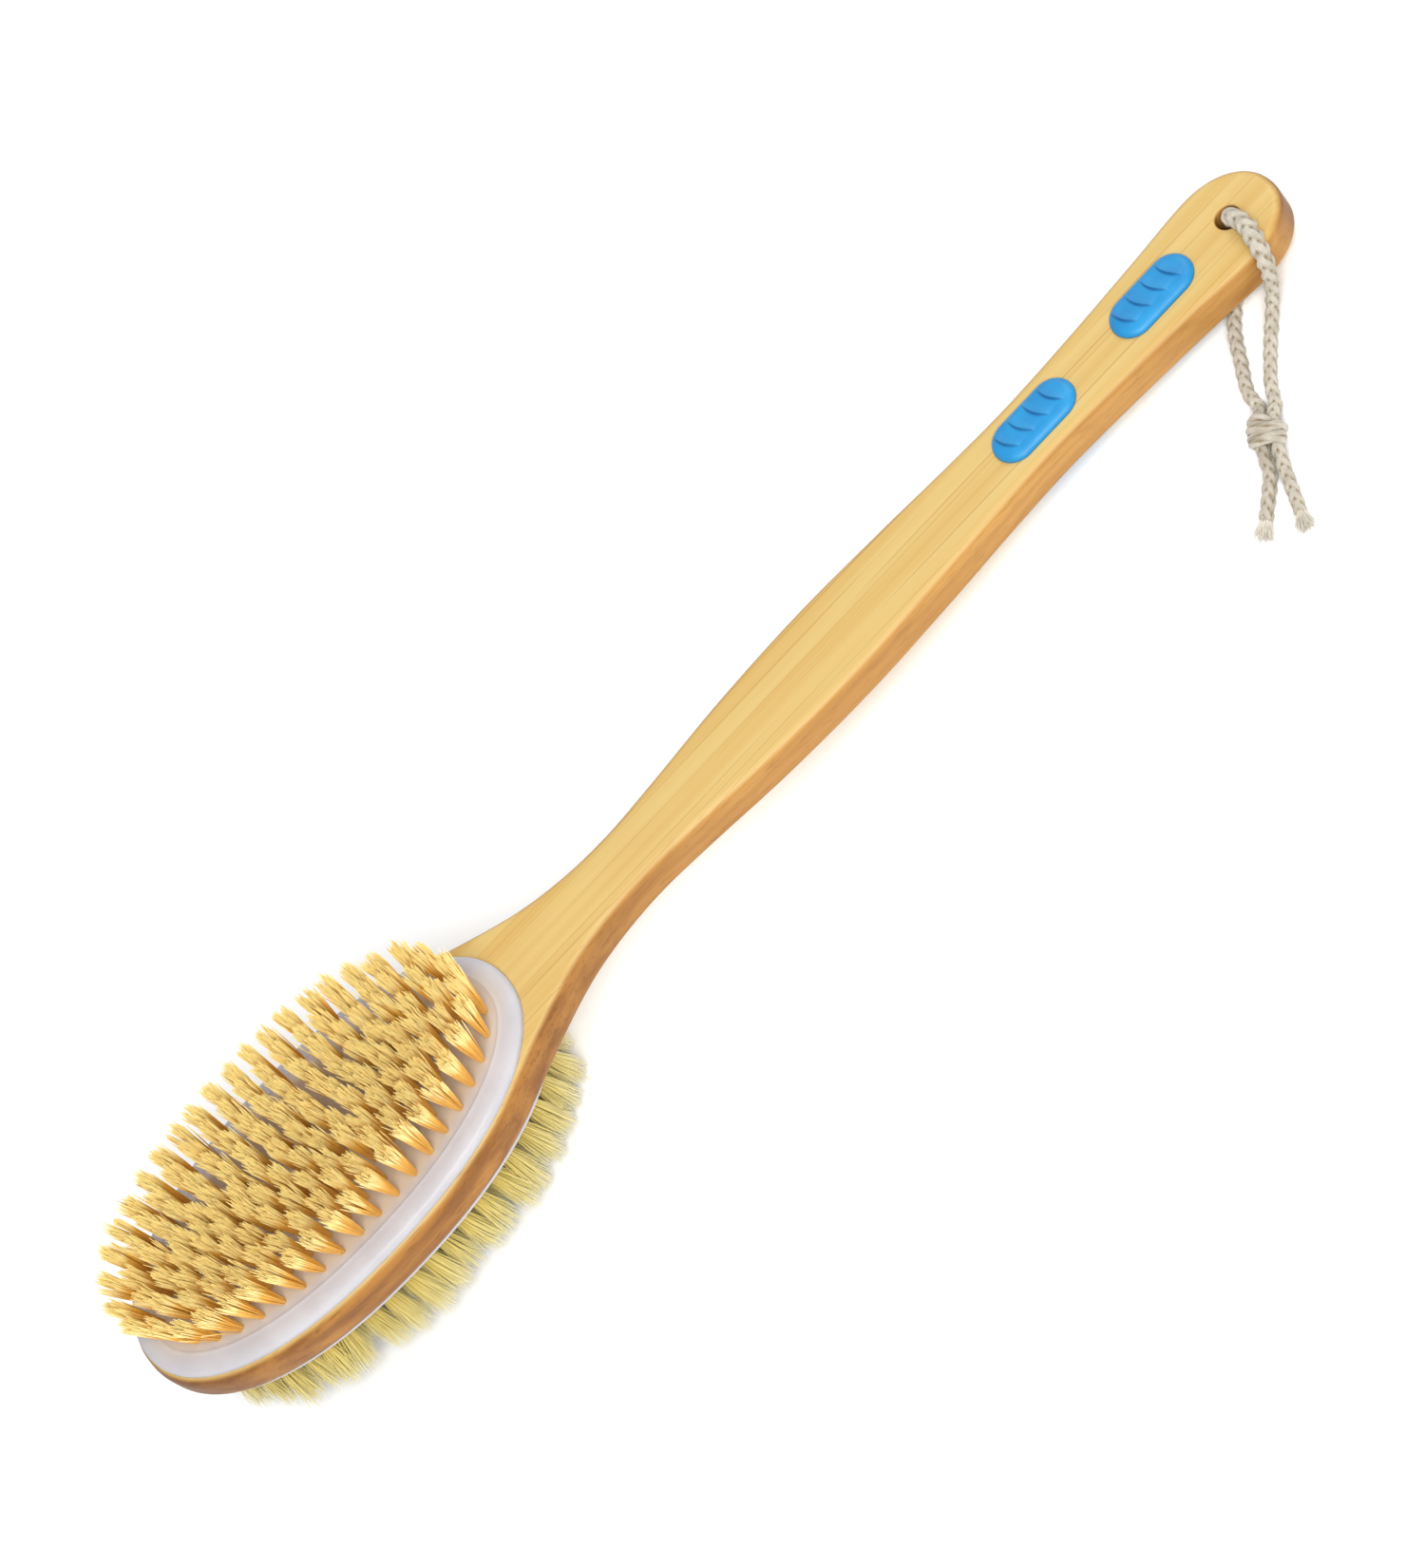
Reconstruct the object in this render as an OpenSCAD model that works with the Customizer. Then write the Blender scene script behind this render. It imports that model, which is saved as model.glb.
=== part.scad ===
// Double-sided body dry brush: a one-piece bamboo handle and oval head, a plastic bristle
// pad on each face, rings of bristle tufts, rubber thumb grips and a knotted cotton rope.
// Millimetres. The brush is drawn along its own axis and then laid down as it rests:
// on the tips of its soft bristles, and at the tail on the rope that runs under it.

/* [Handle and head] */
// Overall length of the bamboo
total_len = 430; // [400:5:460]
// Length of the oval head
head_len = 142; // [134:1:150]
// Width of the oval head
head_w = 73; // [68:1:78]
// Thickness of the bamboo
wood_t = 12.3; // [11:0.1:14]
// Width of the handle at its neck
neck_w = 19.4; // [17:0.2:22]
// Width of the handle where the palm holds it
belly_w = 28.6; // [26:0.2:32]
// Width of the handle under the grips
waist_w = 23.4; // [21:0.2:27]
// Width of the handle at its rounded tail
tail_w = 30.4; // [28:0.2:34]
// Diameter of the hanging hole
hole_d = 7; // [7:0.5:9]
// Distance from the tail end to the middle of the hanging hole
hole_inset = 15; // [13:0.5:17]

/* [Bristle pads] */
// Bare wood left around each pad
pad_margin = 1.8; // [1.2:0.2:3]
// Height of a pad above the wood
pad_h = 3.6; // [2.6:0.2:4.6]
// Depth of the seat cut in the wood for a pad
pad_seat = 1; // [0.6:0.2:1.4]
// Bare plastic between a pad's edge and its first ring of tufts
pad_band = 9.2; // [8:0.2:11]

/* [Tufts] */
// Free length of the stiff bristles
stiff_len = 22; // [18:0.5:26]
// Free length of the soft bristles
soft_len = 25; // [21:0.5:28]
// Diameter of a tuft at its root
root_d = 3; // [2.4:0.1:3.4]
// Diameter of a tuft at its spread tip
tip_d = 5.2; // [4.2:0.1:5.6]
// Distance between tufts along a ring
tuft_pitch = 6.9; // [6.6:0.1:8]
// Distance between two rings of tufts
ring_gap = 6.4; // [6.2:0.1:6.6]
// Depth of the blind hole that holds a tuft's root
root_depth = 3; // [2:0.5:3]
// Outward lean of the outermost ring of tufts in degrees
splay = 9; // [4:1:11]

/* [Grips] */
// Length of a grip
grip_l = 27.6; // [26:0.2:30]
// Width of a grip
grip_w = 12.8; // [12:0.2:14]
// Height of a grip above the wood
grip_h = 1.9; // [1.4:0.1:2.4]
// Depth of the seat cut in the wood for a grip
grip_seat = 0.8; // [0.5:0.1:1.2]
// Number of raised crescents on a grip
ridges = 4; // [3:1:4]
// Distance between crescents
ridge_pitch = 5.6; // [5:0.1:6]
// Turn of the crescents across the handle in degrees
ridge_skew = 19; // [0:1:25]

/* [Rope] */
// Diameter of the rope
rope_d = 4; // [3.8:0.1:4.2]
// Sides of the rope's tube
rope_sides = 10; // [8:1:12]

/* [Hidden] */
HEAD_N = 2.2;
HL = head_len / 2;
HW = head_w / 2;
T2 = wood_t / 2;
TAIL = total_len - HL;
HOLE_X = TAIL - hole_inset;
TAIL_N = 2.15;
TAIL_ROUND = 19;
MOUTH_CUT = 0.8;
PAD_RIM = 5;
PAD_WALL = 1.1;
GRIP_RIM = 2.4;
GRIP_WALL = 0.5;
PAD_A = HL - pad_margin;
PAD_B = HW - pad_margin;
RING_A = PAD_A - pad_band;
RING_B = PAD_B - pad_band;
RINGS = 5;
GRIP_X1 = TAIL * 0.7545;
GRIP_X2 = TAIL * 0.879;

function sgn_pow(v, e) = sign(v) * pow(abs(v), e);
function se(a, b, t) = [a * sgn_pow(cos(t), 2 / HEAD_N), b * sgn_pow(sin(t), 2 / HEAD_N)];
function se_w(a, b, x) = b * pow(1 - pow(abs(x) / a, HEAD_N), 1 / HEAD_N);
function ease(a, b, x) = let (u = min(1, max(0, (x - a) / (b - a)))) u * u * (3 - 2 * u);

// Half-width of the handle behind the head: knots at parts of the tail's distance.
K0 = HL * 0.66;
KT = TAIL - TAIL_ROUND;
KNOTS = [
  [K0, se_w(HL, HW, K0)],
  [TAIL * 0.181, HW * 0.57],
  [TAIL * 0.231, neck_w * 0.72],
  [TAIL * 0.271, neck_w * 0.56],
  [TAIL * 0.315, neck_w * 0.5],
  [TAIL * 0.362, neck_w * 0.55],
  [TAIL * 0.446, belly_w * 0.465],
  [TAIL * 0.533, belly_w * 0.5],
  [TAIL * 0.618, belly_w * 0.463],
  [TAIL * 0.696, waist_w * 0.502],
  [TAIL * 0.752, waist_w * 0.48],
  [TAIL * 0.822, waist_w * 0.52],
  [TAIL * 0.891, tail_w * 0.452],
  [KT, tail_w * 0.5]];
NK = len(KNOTS) - 1;
function slope(i) =
  i == 0 ? (se_w(HL, HW, K0 + 0.5) - se_w(HL, HW, K0 - 0.5)) :
  i == NK ? 0.02 :
  (KNOTS[i + 1][1] - KNOTS[i - 1][1]) / (KNOTS[i + 1][0] - KNOTS[i - 1][0]);
function seg(x, i = 0) = (i >= NK - 1 || x < KNOTS[i + 1][0]) ? i : seg(x, i + 1);
function spline_w(x) =
  let (i = seg(x), p = KNOTS[i], q = KNOTS[i + 1], h = q[0] - p[0], u = (x - p[0]) / h)
  (2 * u * u * u - 3 * u * u + 1) * p[1] + (u * u * u - 2 * u * u + u) * h * slope(i)
  + (3 * u * u - 2 * u * u * u) * q[1] + (u * u * u - u * u) * h * slope(i + 1);

// Outline of the bamboo, tail first along +Y, round the head and back along -Y.
T0 = acos(pow(K0 / HL, HEAD_N / 2));
SIDE_A = [for (i = [0:9])
  [KT + TAIL_ROUND * pow(cos(i * 9), 2 / TAIL_N), tail_w / 2 * pow(sin(i * 9), 2 / TAIL_N)]];
SIDE_B = [for (i = [0:30]) let (x = KT + (K0 - KT) * i / 31) [x, spline_w(x)]];
SIDE_C = [for (i = [0:25]) se(HL, HW, T0 + (180 - T0) * i / 26)];
HALF = concat(SIDE_A, SIDE_B, SIDE_C);
HANDLE = concat(HALF, [[-HL, 0]], [for (i = [len(HALF) - 1:-1:1]) [HALF[i][0], -HALF[i][1]]]);

PAD = [for (i = [0:79]) se(PAD_A, PAD_B, i * 4.5)];
function stadium(l, w) = [for (e = [0, 180], i = [0:11])
  [(e == 0 ? 1 : -1) * (l - w) / 2 + w / 2 * cos(e - 90 + i * 180 / 11), w / 2 * sin(e - 90 + i * 180 / 11)]];
GRIP = stadium(grip_l, grip_w);

// Outward normal at each point of a closed outline that turns left.
function normals(p) = [for (i = [0:len(p) - 1])
  let (d = p[(i + 1) % len(p)] - p[(i + len(p) - 1) % len(p)], n = norm(d)) [d[1] / n, -d[0] / n]];

// A plate: rings of the outline, each drawn in by an amount and raised to a height.
function ring_pts(p, n, k) = [for (i = [0:len(p) - 1])
  let (c = k(p[i])) [p[i][0] - n[i][0] * c[0], p[i][1] - n[i][1] * c[0], c[1]]];
function skin(count, n) = concat(
  [[for (i = [0:n - 1]) i]],
  [for (r = [0:count - 2], i = [0:n - 1]) each [
    [r * n + i, (r + 1) * n + (i + 1) % n, r * n + (i + 1) % n],
    [r * n + i, (r + 1) * n + i, (r + 1) * n + (i + 1) % n]]],
  [[for (i = [n - 1:-1:0]) (count - 1) * n + i]]);
// The same between mirrored halves of a waisted outline, whose ends are strips across it.
function strips(n) = [for (i = [0:n / 2 - 1]) let (b = i + 1, c = n - i - 1, d = (n - i) % n)
  each (i == 0 ? [[i, b, c]] : i == n / 2 - 1 ? [[i, b, d]] : [[i, b, c], [i, c, d]])];
function moved(f, base) = [for (t = f) [t[2] + base, t[1] + base, t[0] + base]];
function waisted_skin(count, n) = concat(
  strips(n),
  [for (f = skin(count, n)) if (len(f) == 3) f],
  moved(strips(n), (count - 1) * n));

// The edge of the wood: a tall soft bow round the head, a tighter round along the handle.
HEAD_EDGE = [2, 4.6];
HANDLE_EDGE = [2.5, 2.6];
WOOD_STEPS = [-90, -67.5, -45, -22.5, 0, 0, 22.5, 45, 67.5, 90];
function edge_at(x) = HEAD_EDGE + (HANDLE_EDGE - HEAD_EDGE) * ease(50, 120, x);
HANDLE_N = normals(HANDLE);
WOOD_PTS = [for (k = [0:9]) each ring_pts(HANDLE, HANDLE_N,
  function (p) let (e = edge_at(p[0])) [e[0] * (1 - cos(WOOD_STEPS[k])),
    (k < 5 ? -1 : 1) * (T2 - e[1] * (1 - abs(sin(WOOD_STEPS[k]))))])];

PAD_N = normals(PAD);
PAD_STEPS = [[0, -pad_seat], [0, PAD_WALL], for (i = [1:4])
  [PAD_RIM * (1 - cos(i * 22.5)), PAD_WALL + (pad_h - PAD_WALL) * sin(i * 22.5)]];
PAD_PTS = [for (s = PAD_STEPS) each ring_pts(PAD, PAD_N, function (p) s)];

GRIP_N = normals(GRIP);
GRIP_STEPS = [[0, -grip_seat], [0, GRIP_WALL], for (i = [1:3])
  [GRIP_RIM * (1 - cos(i * 30)), GRIP_WALL + (grip_h - GRIP_WALL) * sin(i * 30)]];
GRIP_PTS = [for (s = GRIP_STEPS) each ring_pts(GRIP, GRIP_N, function (p) s)];

// Tufts stand at even steps along each oval ring, and the last ring is a single line.
STEPS = 180;
function oval(k, t) = se(RING_A - k * ring_gap, RING_B - k * ring_gap, t);
function run_len(k) = [for (i = 0, s = 0; i <= STEPS;
  s = s + norm(oval(k, (i + 1) * 360 / STEPS) - oval(k, i * 360 / STEPS)), i = i + 1) [s, i * 360 / STEPS]];
RUNS = [for (k = [0:RINGS - 2]) run_len(k)];
function ring_count(k) = round(RUNS[k][STEPS][0] / tuft_pitch);
LINE_N = 10;
function tuft_at(k, i) = k == RINGS - 1
  ? [(i - (LINE_N - 1) / 2) * (tuft_pitch + 0.4), 0]
  : oval(k, lookup(RUNS[k][STEPS][0] * (i + 0.25 + 0.5 * (k % 2)) / ring_count(k), RUNS[k]));
function lean_dir(k, p) = let (a = RING_A - k * ring_gap, b = RING_B - k * ring_gap)
  k == RINGS - 1 ? 0 : atan2(p[1] / (b * b), p[0] / (a * a) * 1.6);
function lean(k) = splay * [1, 0.72, 0.45, 0.2, 0][k];
function count_of(k) = k == RINGS - 1 ? LINE_N : ring_count(k);
FACE = T2 + pad_h;

// Lowest point of a soft tuft when the brush is turned by an angle about Y.
function tuft_low(k, i, a) =
  let (p = tuft_at(k, i), l = lean(k), z = lean_dir(k, p),
    u = [sin(l) * cos(z), sin(l) * sin(z), -cos(l)],
    c = [p[0], p[1], -FACE] + u * soft_len, w = [-sin(a), 0, cos(a)], d = w * u)
  c * w - tip_d / 2 * norm(w - u * d);
function low_all(a) = min([for (k = [0:RINGS - 1], i = [0:count_of(k) - 1]) tuft_low(k, i, a)]);
// Height of the handle's underside at the hole above the lowest tuft.
function gap_at(a) = -HOLE_X * sin(a) - T2 * cos(a) - low_all(a);
REST_GAP = rope_d + 0.25;
function solve(a, b, n) = n == 0 ? (a + b) / 2 :
  gap_at((a + b) / 2) > REST_GAP ? solve((a + b) / 2, b, n - 1) : solve(a, (a + b) / 2, n - 1);
TILT = solve(2, 8, 16);
LIFT = -low_all(TILT);
SPAN = [for (p = WOOD_PTS) p[0] * cos(TILT) + p[2] * sin(TILT)];
SHIFT = -(max(SPAN) + min(SPAN)) / 2;

// The mouths of the hanging hole on the table's frame.
MOUTH_X = HOLE_X * cos(TILT) + SHIFT;
MOUTH_Z = -HOLE_X * sin(TILT) + LIFT;
TOP_Z = MOUTH_Z + T2 * cos(TILT);
LOW_Z = MOUTH_Z - T2 * cos(TILT);
RR = rope_d / 2;
LIE = RR + 0.05;
KNOT_DIR = 228;
KA = [cos(KNOT_DIR), sin(KNOT_DIR), 0];
KB = [-sin(KNOT_DIR), cos(KNOT_DIR), 0];
KNOT_C = [-36.1, -46.9, 0];
KNOT_Z = 4.3;
function by_knot(s, side, z) = KNOT_C + KA * s + KB * side + [0, 0, z];
FRONT_ROUTE = [
  [1, 0.8, MOUTH_Z], [1.1, 0, TOP_Z - 3], [1.1, -1.5, TOP_Z + 0.4], [1.5, -4.6, TOP_Z + 2.6],
  [1.5, -8.7, TOP_Z + 3], [0.3, -12.9, TOP_Z + 2.6], [-1.7, -17, TOP_Z + 0.4],
  [-3.8, -19, TOP_Z - 4], [-6.1, -19.8, TOP_Z - 8.2],
  [-9.1, -20.9, TOP_Z - 11.6], [-13, -23.3, LIE + 0.8], [-17.6, -27.1, LIE],
  [-25, -34.8, LIE], by_knot(-9, RR - 0.6, LIE + 0.5), by_knot(-5, RR - 0.4, KNOT_Z),
  by_knot(0, RR + 0.12, KNOT_Z), by_knot(5, RR + 0.6, KNOT_Z), by_knot(10, RR + 1.3, LIE + 0.3),
  [-44, -64, LIE], [-48.2, -72.6, LIE]];
BACK_ROUTE = [
  [1, 0.8, MOUTH_Z], [0.9, 0.7, LOW_Z + 3.6], [-0.4, 0, LOW_Z + 0.5], [-3, -1.6, LIE + 0.3],
  [-7, -4, LIE], [-14, -9, LIE], [-20.6, -15.4, LIE], [-25.8, -23.4, LIE],
  [-30.8, -31.4, LIE], by_knot(-9, -RR - 0.9, LIE + 0.5), by_knot(-5, -RR - 0.65, KNOT_Z),
  by_knot(0, -RR - 0.12, KNOT_Z), by_knot(5, -RR + 0.35, KNOT_Z), by_knot(10, -RR + 1, LIE + 0.2),
  [-47.4, -57.2, LIE], [-57, -65, LIE]];

// Even points along a smooth curve through the route, then a tube swept along them.
function bend(a, b, c, d, u) = 0.5 * (2 * b + (c - a) * u + (2 * a - 5 * b + 4 * c - d) * u * u
  + (3 * b - a - 3 * c + d) * u * u * u);
function along(r, per) = concat([for (i = [0:len(r) - 2], j = [0:per - 1])
  bend(r[max(0, i - 1)], r[i], r[i + 1], r[min(len(r) - 1, i + 2)], j / per)], [r[len(r) - 1]]);
function unit(v) = v / norm(v);
function heading(c, i) = i == 0 ? [0, 0, c[1][2] > c[0][2] ? 1 : -1] :
  unit(c[min(len(c) - 1, i + 1)] - c[i - 1]);
function carry(n, t) = unit(n - t * (n * t));
function frames(c) = [for (i = 0, n = [1, 0, 0]; i < len(c);
  i = i + 1, n = carry(n, heading(c, min(i, len(c) - 1)))) [c[i], n, cross(heading(c, i), n)]];
function tube_pts(c, s) = [for (f = frames(c), i = [0:s - 1])
  f[0] + RR * (f[1] * cos(i * 360 / s) + f[2] * sin(i * 360 / s))];

module laid() {
  translate([SHIFT, 0, LIFT])
    rotate([0, TILT, 0])
      children();
}

module flip() {
  rotate([180, 0, 0])
    children();
}

module at_tufts(k) {
  for (i = [0:count_of(k) - 1]) {
    p = tuft_at(k, i);
    translate([p[0], p[1], FACE])
      rotate([0, 0, lean_dir(k, p)])
        rotate([0, lean(k), 0])
          children();
  }
}

module tuft(l) {
  rotate_extrude($fn = 16)
    polygon([[0, -root_depth], [root_d / 2, -root_depth], [root_d / 2, 0.4], [tip_d / 2 - 0.2, l - 1],
      [tip_d / 2 - 0.7, l], [0, l]]);
}

module bamboo_handle() {
  color([0.89, 0.74, 0.46])
    laid()
      difference() {
        polyhedron(WOOD_PTS, waisted_skin(10, len(HANDLE)), convexity = 6);
        translate([HOLE_X, 0, -T2 - 1])
          cylinder(d = hole_d, h = wood_t + 2, $fn = 48);
        for (s = [0, 180])
          rotate([s, 0, 0]) {
            translate([HOLE_X, 0, T2 - MOUTH_CUT])
              cylinder(d1 = hole_d, d2 = hole_d + 4 * MOUTH_CUT, h = 2 * MOUTH_CUT, $fn = 48);
            translate([0, 0, T2 - pad_seat])
              linear_extrude(3)
                polygon(PAD);
            for (x = [GRIP_X1, GRIP_X2])
              translate([x, 0, T2 - grip_seat])
                linear_extrude(3)
                  polygon(GRIP);
          }
      }
}

module pad() {
  difference() {
    translate([0, 0, T2])
      polyhedron(PAD_PTS, skin(len(PAD_STEPS), len(PAD)), convexity = 4);
    for (k = [0:RINGS - 1])
      at_tufts(k)
        translate([0, 0, -root_depth])
          cylinder(d = root_d, h = root_depth + 1, $fn = 16);
  }
}

module stiff_bristle_pad() {
  color([0.87, 0.85, 0.9])
    laid()
      pad();
}

module soft_bristle_pad() {
  color([0.87, 0.85, 0.9])
    laid()
      flip()
        pad();
}

module stiff_tufts(k) {
  color([0.87, 0.68, 0.35])
    laid()
      at_tufts(k)
        tuft(stiff_len);
}

module soft_tufts(k) {
  color([0.88, 0.82, 0.55])
    laid()
      flip()
        at_tufts(k)
          tuft(soft_len);
}

module stiff_tufts_ring_1() {
  stiff_tufts(0);
}

module stiff_tufts_ring_2() {
  stiff_tufts(1);
}

module stiff_tufts_ring_3() {
  stiff_tufts(2);
}

module stiff_tufts_ring_4() {
  stiff_tufts(3);
}

module stiff_tufts_ring_5() {
  stiff_tufts(4);
}

module soft_tufts_ring_1() {
  soft_tufts(0);
}

module soft_tufts_ring_2() {
  soft_tufts(1);
}

module soft_tufts_ring_3() {
  soft_tufts(2);
}

module soft_tufts_ring_4() {
  soft_tufts(3);
}

module soft_tufts_ring_5() {
  soft_tufts(4);
}

// A raised crescent that bows towards the head, its back edge a flatter arc.
module crescent() {
  difference() {
    translate([6.3, 0, -0.9])
      cylinder(r = 7.6, h = 1.6, $fn = 64);
    translate([12.1, 0, -1])
      cylinder(r = 12, h = 2, $fn = 96);
  }
}

module grip() {
  color([0.18, 0.58, 0.88])
    union() {
      polyhedron(GRIP_PTS, skin(len(GRIP_STEPS), len(GRIP)), convexity = 4);
      for (i = [0:ridges - 1])
        translate([(i - (ridges - 1) / 2) * ridge_pitch - 0.4, 0.5, grip_h - 0.05])
          rotate([0, 0, ridge_skew])
            crescent();
    }
}

module grip_top_front() {
  laid()
    translate([GRIP_X1, 0, T2])
      grip();
}

module grip_top_rear() {
  laid()
    translate([GRIP_X2, 0, T2])
      grip();
}

module grip_under_front() {
  laid()
    flip()
      translate([GRIP_X1, 0, T2])
        grip();
}

module grip_under_rear() {
  laid()
    flip()
      translate([GRIP_X2, 0, T2])
        grip();
}

module rope_tube(route) {
  c = [for (p = along(route, 3)) p + [MOUTH_X, 0, 0]];
  polyhedron(tube_pts(c, rope_sides), skin(len(c), rope_sides), convexity = 8);
}

module rope_front() {
  color([0.9, 0.86, 0.8])
    rope_tube(FRONT_ROUTE);
}

module rope_back() {
  color([0.9, 0.86, 0.8])
    rope_tube(BACK_ROUTE);
}

module wrap(s, turn, r) {
  translate([MOUTH_X, 0, 5.6] + by_knot(s, 0, 0))
    rotate([0, 0, KNOT_DIR + turn])
      rotate([0, 90, 0])
        rotate_extrude($fn = 40)
          translate([3.5, 0])
            circle(r = r, $fn = 16);
}

module rope_knot() {
  color([0.9, 0.86, 0.8])
    difference() {
      union() {
        wrap(2.8, 12, 1.9);
        wrap(0, -3, 2);
        wrap(-2.8, -18, 1.9);
        translate([MOUTH_X, 0, 5.6] + by_knot(-4.4, 0, 0))
          rotate([0, 0, KNOT_DIR])
            rotate([0, 90, 0])
              cylinder(r = 4, h = 8.8, $fn = 40);
      }
      rope_tube(FRONT_ROUTE);
      rope_tube(BACK_ROUTE);
      translate([MOUTH_X, 0, 0] + by_knot(0, 0, KNOT_Z))
        rotate([0, 0, KNOT_DIR + 5.8])
          cube([20, 1.2, 2.8], center = true);
    }
}

bamboo_handle();
stiff_bristle_pad();
soft_bristle_pad();
stiff_tufts_ring_1();
stiff_tufts_ring_2();
stiff_tufts_ring_3();
stiff_tufts_ring_4();
stiff_tufts_ring_5();
soft_tufts_ring_1();
soft_tufts_ring_2();
soft_tufts_ring_3();
soft_tufts_ring_4();
soft_tufts_ring_5();
grip_top_front();
grip_top_rear();
grip_under_front();
grip_under_rear();
rope_front();
rope_back();
rope_knot();
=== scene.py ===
import math

import bpy
import numpy as np
from mathutils import Matrix, Vector


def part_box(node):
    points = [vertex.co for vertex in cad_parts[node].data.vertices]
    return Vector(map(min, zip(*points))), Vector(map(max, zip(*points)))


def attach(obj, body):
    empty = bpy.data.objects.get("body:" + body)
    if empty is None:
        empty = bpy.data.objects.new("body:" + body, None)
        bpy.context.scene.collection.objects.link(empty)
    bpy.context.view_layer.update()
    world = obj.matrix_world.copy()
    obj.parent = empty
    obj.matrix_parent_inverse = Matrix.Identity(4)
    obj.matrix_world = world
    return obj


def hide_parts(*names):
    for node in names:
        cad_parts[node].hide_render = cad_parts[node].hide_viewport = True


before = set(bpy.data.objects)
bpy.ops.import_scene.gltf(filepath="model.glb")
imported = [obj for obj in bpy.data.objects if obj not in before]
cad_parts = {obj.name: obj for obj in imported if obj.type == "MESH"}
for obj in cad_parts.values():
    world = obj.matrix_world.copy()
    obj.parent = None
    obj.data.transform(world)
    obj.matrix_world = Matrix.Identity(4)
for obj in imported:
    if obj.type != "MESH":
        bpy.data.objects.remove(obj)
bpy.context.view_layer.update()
MM = 0.001


# ---------------------------------------------------------------- the brush's own frame
def brush_axes():
    """Rows: along the handle to the tail, across to the left, and out of the stiff side."""
    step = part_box("grip_top_rear")[0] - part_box("grip_top_front")[0]
    along = np.array(step.normalized())
    across = np.array([0.0, 1.0, 0.0])
    return np.array([along, across, np.cross(along, across)])


def pads_middle():
    """Middle of the head, in metres: halfway between the two pads."""
    corners = [c for n in ("stiff_bristle_pad", "soft_bristle_pad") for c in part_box(n)]
    corners = np.array([list(c) for c in corners])
    return (corners.min(0) + corners.max(0)) / 2


AXES = brush_axes()
HEAD = pads_middle()
TILT = math.atan2(-AXES[0][2], AXES[0][0])


def laid(points):
    """Millimetres in the brush's frame to metres in the row frame."""
    return HEAD + np.asarray(points, float) @ AXES * MM


def extent(node):
    """Lowest and highest corner of a CAD node in the brush's frame, in millimetres."""
    corners = np.array([v.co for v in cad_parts[node].data.vertices], float)
    corners = (corners - HEAD) @ AXES.T / MM
    return corners.min(0), corners.max(0)


def on_side(points, side):
    """A shape made on the stiff side: as it is for 1, or for -1 turned over to the soft side."""
    return np.asarray(points) * (1, side, side)


# ---------------------------------------------------------------- camera
# Where the camera stands and the point it looks at, in millimetres in the brush's frame.
CAMERA_MM = (184.3, -689.1, 895.4)
LOOK_MM = (143.47, -0.62, 0)
ROLL_DEG = -49.235
LENS_MM = 98.18


def make_camera():
    """The camera, placed from the brush, looking at a point on its axis."""
    data = bpy.data.cameras.new("camera")
    data.lens = LENS_MM
    data.clip_start = 0.05
    data.clip_end = 20
    camera = bpy.data.objects.new("camera", data)
    bpy.context.scene.collection.objects.link(camera)
    ahead = np.asarray(LOOK_MM, float) - CAMERA_MM
    ahead = ahead / np.linalg.norm(ahead)
    right = np.cross(ahead, (0, 0, 1))
    right = right / np.linalg.norm(right)
    up = np.cross(right, ahead)
    turn = math.radians(ROLL_DEG)
    side = math.cos(turn) * right + math.sin(turn) * up
    top = math.cos(turn) * up - math.sin(turn) * right
    basis = np.array([side, top, -ahead]) @ AXES
    matrix = Matrix([list(r) for r in basis]).transposed().to_4x4()
    matrix.translation = Vector(laid(CAMERA_MM))
    camera.matrix_world = matrix
    bpy.context.scene.camera = camera


make_camera()


# ---------------------------------------------------------------- mesh helpers
def build(name, points, faces, slot, *nodes, attributes=None, crease=None):
    """A piece from points in metres and arrays of faces, one array per face size.

    It rides on the brush if it is given a slot, and stands for CAD nodes, which it hides. A slot of None is
    for a mesh that isn't part of the brush. Edges sharper than crease, in degrees, stay sharp.
    """
    mesh = bpy.data.meshes.new(name)
    points = np.asarray(points, np.float32).reshape(-1, 3)
    faces = [np.asarray(f, np.int32) for f in faces]
    loops = np.concatenate([f.ravel() for f in faces])
    sizes = np.concatenate([np.full(len(f), f.shape[1]) for f in faces])
    mesh.vertices.add(len(points))
    mesh.vertices.foreach_set("co", points.ravel())
    mesh.loops.add(len(loops))
    mesh.loops.foreach_set("vertex_index", loops)
    mesh.polygons.add(len(sizes))
    mesh.polygons.foreach_set("loop_start", np.cumsum(sizes) - sizes)
    mesh.update(calc_edges=True)
    mesh.validate()
    mesh.shade_smooth()
    if crease is not None:
        mesh.set_sharp_from_angle(angle=math.radians(crease))
    for key, values in (attributes or {}).items():
        layer = mesh.attributes.new(key, "FLOAT", "POINT")
        layer.data.foreach_set("value", np.broadcast_to(values, len(points)).astype(np.float32))
    piece = bpy.data.objects.new(name, mesh)
    bpy.context.scene.collection.objects.link(piece)
    if slot:
        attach(piece, "root")
    if nodes:
        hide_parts(*nodes)
    return piece


def ring_quads(rings, count):
    """Quads between closed rings of count points that follow one another."""
    ring, at = np.meshgrid(np.arange(rings - 1), np.arange(count), indexing="ij")
    after = (at + 1) % count
    low, high = ring * count, (ring + 1) * count
    return np.stack([low + at, low + after, high + after, high + at], -1).reshape(-1, 4)


def tube_faces(rings, count):
    """Quads between closed rings, then one face over the first ring and one over the last."""
    first = np.arange(count)
    return [ring_quads(rings, count), [first[::-1]], [first + (rings - 1) * count]]


def merged(parts):
    """Several (points, faces) as one."""
    points, faces, base = [], {}, 0
    for part_points, part_faces in parts:
        points.append(part_points)
        for group in part_faces:
            group = np.asarray(group)
            faces.setdefault(group.shape[1], []).append(group + base)
        base += len(part_points)
    return np.concatenate(points), [np.concatenate(group) for group in faces.values()]


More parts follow.
